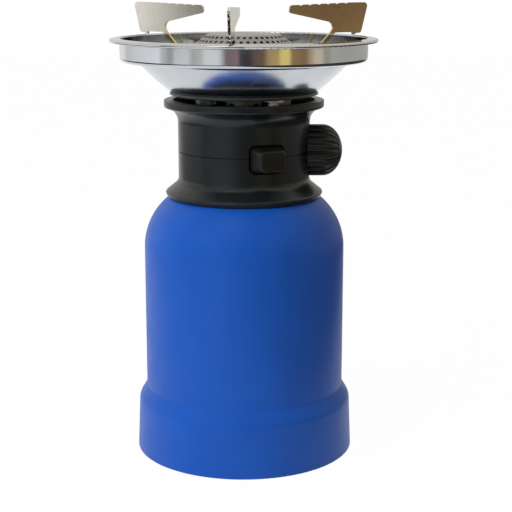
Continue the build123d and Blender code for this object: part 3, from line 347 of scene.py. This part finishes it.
def zinc_plated_sheet():
    """Bright zinc on stamped sheet steel: pale satin faces with the lines of the rolling, drawn coarser than
    real, torn sheared edges, a painted dark reflection on the outer edge, and yellow where the flame warms the
    leg.
    """
    rolling = Grain(0.6, 3.0, (1, 1, 0.12))
    rolling_depth = 0.0008
    tears = Grain(0.9, 1.0)
    tear_depth = 0.1
    clouds = Grain(12.0)
    # Heights and radii in millimetres, each with where the change starts and where it is complete
    throat_z, throat_yellow_z = 201.0, 198.0
    leg_z, leg_yellow_z = 196.6, 195.4
    corner_z, below_corner_z = 208.6, 208.2
    inner_r, outer_r = 46.0, 48.0
    speck, no_speck = 0.6, 0.54
    # Share of the normal that looks across the blade: nearly all of it on a face, little on an edge
    on_face, on_edge = 0.85, 0.55
    smoothest, roughest = 0.07, 0.11

    material, tree, place = start_material("zinc plated sheet steel")
    normal = add_node(
        tree,
        "ShaderNodeVectorTransform",
        links={0: add_node(tree, "ShaderNodeNewGeometry").outputs["True Normal"]},
        vector_type="NORMAL",
        convert_from="WORLD",
        convert_to="OBJECT",
    )
    flat = add_node(tree, "ShaderNodeVectorMath", {1: LEVEL}, {0: place}, operation="MULTIPLY")
    across = add_node(tree, "ShaderNodeVectorMath", {1: UPRIGHT}, {0: flat}, operation="CROSS_PRODUCT")
    across_unit = add_node(tree, "ShaderNodeVectorMath", links={0: across}, operation="NORMALIZE")
    facing = add_node(
        tree, "ShaderNodeVectorMath", links={0: normal, 1: across_unit}, operation="DOT_PRODUCT"
    )
    turned = add_node(tree, "ShaderNodeMath", links={0: facing.outputs["Value"]}, operation="ABSOLUTE")
    radius = add_node(
        tree, "ShaderNodeVectorMath", links={0: flat}, operation="LENGTH"
    ).outputs["Value"]
    height = add_node(tree, "ShaderNodeSeparateXYZ", links={0: place}).outputs["Z"]
    tear = noise_of(tree, place, tears)
    edge_ramp = (turned, on_face, on_edge)

    # Cut edges turn yellow from the throat down, and the thin leg is yellow all over.
    low_edge = product_of_ramps(tree, edge_ramp, (height, throat_z, throat_yellow_z))
    leg = product_of_ramps(tree, (height, leg_z, leg_yellow_z))
    warm = add_node(tree, "ShaderNodeMath", links={0: low_edge, 1: leg}, operation="MAXIMUM")
    inner = product_of_ramps(tree, (radius, outer_r, inner_r))
    yellow = add_node(tree, "ShaderNodeMath", links={0: warm, 1: inner}, operation="MULTIPLY")
    # Painted dark reflection: the outer edge below its rounded corner is painted dark, broken by noise into
    # bright specks of plain zinc.
    dark = product_of_ramps(
        tree,
        edge_ramp,
        (height, corner_z, below_corner_z),
        (tear, speck, no_speck),
        (radius, inner_r, outer_r),
    )
    share = product_of_ramps(tree, (noise_of(tree, place, clouds), NOISE_LOW, NOISE_HIGH))
    colour = add_node(
        tree, "ShaderNodeMix", {6: srgb("#D6D2CA"), 7: srgb("#DEDAD3")}, {0: share}, data_type="RGBA"
    ).outputs[2]
    # The yellow and the painted dark reflection on the outer edge go over the zinc colour.
    for where, code in ((yellow, "#D6C68A"), (dark, "#2A2624")):
        colour = add_node(
            tree, "ShaderNodeMix", {7: srgb(code)}, {0: where, 6: colour}, data_type="RGBA"
        ).outputs[2]

    rolled = noise_of(tree, place, rolling)
    rough = add_node(
        tree,
        "ShaderNodeMapRange",
        {1: NOISE_LOW, 2: NOISE_HIGH, 3: smoothest, 4: roughest},
        {0: rolled},
    )
    edge = product_of_ramps(tree, edge_ramp)
    torn = add_node(tree, "ShaderNodeMath", links={0: tear, 1: edge}, operation="MULTIPLY")
    rugged = add_node(
        tree, "ShaderNodeBump", {"Strength": 1.0, "Distance": tear_depth * MM}, {"Height": torn}
    )
    lined = add_node(
        tree,
        "ShaderNodeBump",
        {"Strength": 1.0, "Distance": rolling_depth * MM},
        {"Height": rolled, "Normal": rugged},
    )
    end_material(tree, {"Metallic": 1.0}, {"Base Color": colour, "Roughness": rough, "Normal": lined})
    return material


CHROME = chrome_plated_steel()
ZINC_SHEET = zinc_plated_sheet()

NODE_FINISH = {
    "bell": BLUE_ABS,
    "base_cup": BLACK_NYLON,
    "gas_cartridge": CAN_LACQUER,
    "neck_bush": BRASS,
    "neck_ring_nut": BRIGHT_ZINC,
    "valve_body": BRASS,
    "piercing_needle": BRIGHT_ZINC,
    "cartridge_gasket": RUBBER,
    "inlet_filter": BRASS,
    "collar_lock_nut": BRASS,
    "collar_lower": BLACK_NYLON,
    "collar_upper": BLACK_NYLON,
    "collar_screws": BRIGHT_ZINC,
    "gland_nut": BRASS,
    "spindle_o_ring": RUBBER,
    "injector": BRASS,
    "mixing_tube": BRIGHT_ZINC,
    "burner_nut": BRIGHT_ZINC,
    # Painted shade: the zinc-plated bracket gets the dark stained steel because it lies in the shade under the
    # heat shield.
    "burner_bracket": STAIN_AND_SHADE_STEEL,
    "heat_shield": HEAT_PAINT,
    "pan": CHROME,
    "burner_cup": STAIN_AND_SHADE_STEEL,
    "burner_cap": STAINLESS,
    "support_bolts": BRIGHT_ZINC,
    "support_nuts": BRIGHT_ZINC,
    "pan_support_front": ZINC_SHEET,
    "pan_support_left": ZINC_SHEET,
    "pan_support_right": ZINC_SHEET,
    "electrode_insulator": CERAMIC,
    "electrode_pin": BRIGHT_ZINC,
    "electrode_clip": BRIGHT_ZINC,
    "piezo_unit": WHITE_ACETAL,
    "ignition_wire": SILICONE,
    "knob": KNOB_NYLON,
    "valve_spindle": BRASS,
    "piezo_button": KNOB_NYLON,
    "piezo_plunger": WHITE_ACETAL,
}
for node_name, node_finish in NODE_FINISH.items():
    for material_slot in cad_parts[node_name].material_slots:
        material_slot.material = node_finish


# Studio: white paper under the stove, a key light and a ceiling lamp, and a room for the metal to mirror

# The paper's edges in metres. Behind the object each spreads by a share of y, as the view does. Before it
# the right edge falls back by another share, so that the plastic has its soft highlight left of the middle.
PAPER_FRONT, PAPER_BACK = -0.5, 3.0
PAPER_LEFT, PAPER_RIGHT = -0.42, 0.16
PAPER_SPREAD_SHARE = 0.2
PAPER_FALL_SHARE = 0.45
PAPER_ROWS, PAPER_COLUMNS = 50, 3
PAPER_GREY = (0.82, 0.82, 0.82, 1)
# How much of the paper's own light the camera and mirrors see in place of its grey
PAPER_GLOW = 0.985
WHITE = (1, 1, 1, 1)


def paper_sheet():
    """Points of a level sheet at z = 0: rows of equal y from front to back, each from left to right edge."""
    y = np.linspace(PAPER_FRONT, PAPER_BACK, PAPER_ROWS)
    left = PAPER_LEFT - PAPER_SPREAD_SHARE * np.clip(y, 0, None)
    right = PAPER_RIGHT + np.where(y < 0, PAPER_FALL_SHARE, PAPER_SPREAD_SHARE) * y
    share = np.linspace(0, 1, PAPER_COLUMNS)
    points = np.zeros((PAPER_ROWS, PAPER_COLUMNS, 3))
    points[..., 0] = left[:, None] + (right - left)[:, None] * share[None, :]
    points[..., 1] = y[:, None]
    return points


def grid_object(name, points, material):
    """Mesh object of a grid of points in metres, with one material and a quad between each four points."""
    corner = np.arange(points.shape[0] * points.shape[1]).reshape(points.shape[:2])
    quads = np.stack([corner[:-1, :-1], corner[1:, :-1], corner[1:, 1:], corner[:-1, 1:]], -1)
    mesh = bpy.data.meshes.new(name)
    mesh.from_pydata(points.reshape(-1, 3).tolist(), [], quads.reshape(-1, 4).tolist())
    mesh.polygons.foreach_set("use_smooth", [True] * len(mesh.polygons))
    mesh.materials.append(material)
    mesh.validate()
    piece = bpy.data.objects.new(name, mesh)
    bpy.context.scene.collection.objects.link(piece)
    return piece


def white_paper():
    """Background paper: all but pure white to camera and mirrors, and plain grey-white to the light."""
    material = bpy.data.materials.new("white background paper")
    tree = empty_tree(material)
    rays = add_node(tree, "ShaderNodeLightPath")
    seen = rays.outputs["Is Camera Ray"]
    for ray in ("Is Glossy Ray", "Is Transmission Ray"):
        seen = add_node(tree, "ShaderNodeMath", links={0: seen, 1: rays.outputs[ray]}, operation="MAXIMUM")
    share = add_node(tree, "ShaderNodeMath", {1: PAPER_GLOW}, {0: seen}, operation="MULTIPLY")
    paper = add_node(tree, "ShaderNodeBsdfDiffuse", {"Color": PAPER_GREY})
    glow = add_node(tree, "ShaderNodeEmission", {"Color": WHITE, "Strength": 1.0})
    mix = add_node(tree, "ShaderNodeMixShader", links={0: share, 1: paper, 2: glow})
    add_node(tree, "ShaderNodeOutputMaterial", links={"Surface": mix})
    return material


grid_object("background_paper", paper_sheet(), white_paper())


HEAD_POINT = Vector((0, 0, 0.13))


def studio_light(name, place, side, power, colour, mirrored):
    """Square soft light at a place, turned towards the head, that metal mirrors or not."""
    lamp = bpy.data.lights.new(name, "AREA")
    lamp.size = side
    lamp.energy = power
    lamp.color = colour
    light = bpy.data.objects.new(name, lamp)
    light.location = place
    light.rotation_euler = (HEAD_POINT - Vector(place)).to_track_quat("-Z", "Y").to_euler()
    light.visible_glossy = mirrored
    bpy.context.scene.collection.objects.link(light)


# Place and side in metres, power in watts. The key light stands for a wall of light, which the metal shows
# as the room's wall, so it is not mirrored itself.
studio_light("key softbox", (-0.9, -0.81, 0.66), 0.8, 13.0, (0.97, 0.98, 1.0), False)
studio_light("ceiling lamp", (-0.35, -0.55, 1.3), 0.3, 0.6, (1.0, 1.0, 1.0), True)


# What stands round the table, in degrees from the camera round the left: from, to, and a colour at each end
ROOM_PATCHES = (
    (0, 3, "#45424A", "#4A464C"),  # navy cloth
    (5, 15, "#9C8080", "#887274"),  # plum curtain
    (22, 34, "#F2F2F0", "#F2F2F0"),  # white wall
    (38, 46, "#D4D0C8", "#C0BEB6"),  # grey cloth on it
    (51, 64, "#E8E8E2", "#E8E8E4"),  # white wall
    (68, 78, "#B8BAB6", "#C8CAC6"),  # grey window frame
    (83, 134, "#FFFFFF", "#DADAD8"),  # daylight on the wall
    (144, 168, "#F2F4F4", "#DCDEDE"),  # white door
    (200, 273, "#B0AEA6", "#BCBAAE"),  # grey cupboards
    (277, 281, "#A8A490", "#A8A490"),  # shadow beside them
    (285, 292, "#DACCB8", "#E4D0B2"),  # cream blind
    (302, 316, "#947A58", "#AC8860"),  # wooden door
    (319, 326, "#FFEC90", "#FFE888"),  # brass lamp, lit
    (329, 337, "#D0AE6C", "#C0A474"),  # its glow on the wood
    (342, 351, "#6A5448", "#6C544E"),  # brown armchair
    (355, 360, "#38353C", "#3E3B42"),  # the navy cloth again
)
# The same above the edge of the table, where the blades and the bowl look
ROOM_ABOVE = (
    (0, 14, "#6C6462", "#8C8684"),  # upper part of the cloth and curtain
    (22, 55, "#D8D8D4", "#DCDCD8"),  # wall in shade
    (64, 72.5, "#5C5A50", "#5C5A50"),  # dark frame of the window
    (75, 165, "#FFFFFC", "#D8D8D4"),  # the bright window and the wall beside it
    (195, 285, "#C4C2BA", "#C0BCB0"),  # upper cupboards
    (297, 304.8, "#947858", "#886C50"),  # wooden door
    (306.6, 307.4, "#6C5638", "#6C5638"),  # its joint
    (308.8, 316, "#7E684C", "#7E684C"),  # the door's second board
    (322, 345, "#B09A6C", "#907C64"),  # glow of the lamp
    (352, 360, "#645C5A", "#6C6462"),  # the cloth again
)
FULL_TURN = 360
# Where a new stop of a ramp waits until it gets its place
RAMP_MIDDLE = 0.5
# Heights of a ray's direction at which one part of the room has faded in over the last, and its colour
CEILING = (0.28, 0.5, "#E2DED6")
DARK_FLOOR = (-0.09, -0.18, "#423D39")
ABOVE_FROM, ABOVE_TO = -0.058, -0.048
# Strengths of the room that metal mirrors and of the even light on the object
MIRRORED_STRENGTH = 1.12
LIT_STRENGTH = 0.37
LIT_COLOUR = (1.0, 0.99, 0.96, 1)


def room_row(tree, around, patches):
    """Colour of a row of patches by the share of a turn round the left."""
    ramp = add_node(tree, "ShaderNodeValToRGB", links={0: around})
    elements = ramp.color_ramp.elements
    stops = [(patch[side] / FULL_TURN, patch[side + 2]) for patch in patches for side in (0, 1)]
    while len(elements) < len(stops):
        elements.new(RAMP_MIDDLE)
    for element, (position, code) in zip(elements, stops):
        element.position = position
        element.color = srgb(code)
    return ramp.outputs[0]


def studio_world():
    """Room: white to the camera, an even light to the object, and a furnished room to what mirrors it."""
    world = bpy.data.worlds.new("studio room")
    bpy.context.scene.world = world
    tree = empty_tree(world)
    rays = add_node(tree, "ShaderNodeLightPath")
    place = add_node(tree, "ShaderNodeTexCoord").outputs["Generated"]
    split = add_node(tree, "ShaderNodeSeparateXYZ", links={0: place})
    # The angle is zero away from the camera and half a turn towards it, positive on the right.
    angle = add_node(
        tree, "ShaderNodeMath", links={0: split.outputs["X"], 1: split.outputs["Y"]}, operation="ARCTAN2"
    )
    around = product_of_ramps(tree, (angle, -math.pi, math.pi))
    room = room_row(tree, around, ROOM_PATCHES)
    above = room_row(tree, around, ROOM_ABOVE)
    away = product_of_ramps(tree, (split.outputs["Z"], ABOVE_FROM, ABOVE_TO))
    room = add_node(
        tree, "ShaderNodeMix", links={0: away, 6: room, 7: above}, data_type="RGBA"
    ).outputs[2]
    for near, far, code in (CEILING, DARK_FLOOR):
        away = product_of_ramps(tree, (split.outputs["Z"], near, far))
        room = add_node(
            tree, "ShaderNodeMix", {7: srgb(code)}, {0: away, 6: room}, data_type="RGBA"
        ).outputs[2]
    lit = add_node(tree, "ShaderNodeBackground", {"Color": LIT_COLOUR, "Strength": LIT_STRENGTH})
    mirrored = add_node(tree, "ShaderNodeBackground", {"Strength": MIRRORED_STRENGTH}, {"Color": room})
    white = add_node(tree, "ShaderNodeBackground", {"Color": WHITE, "Strength": 1.0})
    seen = lit
    for ray, background in (("Is Glossy Ray", mirrored), ("Is Camera Ray", white)):
        seen = add_node(
            tree, "ShaderNodeMixShader", links={0: rays.outputs[ray], 1: seen, 2: background}
        )
    add_node(tree, "ShaderNodeOutputWorld", links={"Surface": seen})


studio_world()

# Camera, fitted to the photograph's view
FOCAL_PX = 1295
FRAME_PX = 512
SENSOR_MM = 36
EYE = (5.6 * MM, -603 * MM, 226.2 * MM)
EYE_PITCH = 12.49
LEVEL_TURN = 90
NEAREST = 0.05
lens = bpy.data.cameras.new("product camera")
lens.sensor_width = SENSOR_MM
lens.lens = FOCAL_PX / FRAME_PX * SENSOR_MM
lens.clip_start = NEAREST
camera = bpy.data.objects.new("product camera", lens)
camera.location = EYE
camera.rotation_euler = (math.radians(LEVEL_TURN - EYE_PITCH), 0, 0)
bpy.context.scene.collection.objects.link(camera)
bpy.context.scene.camera = camera
bpy.context.scene.view_settings.view_transform = "Standard"
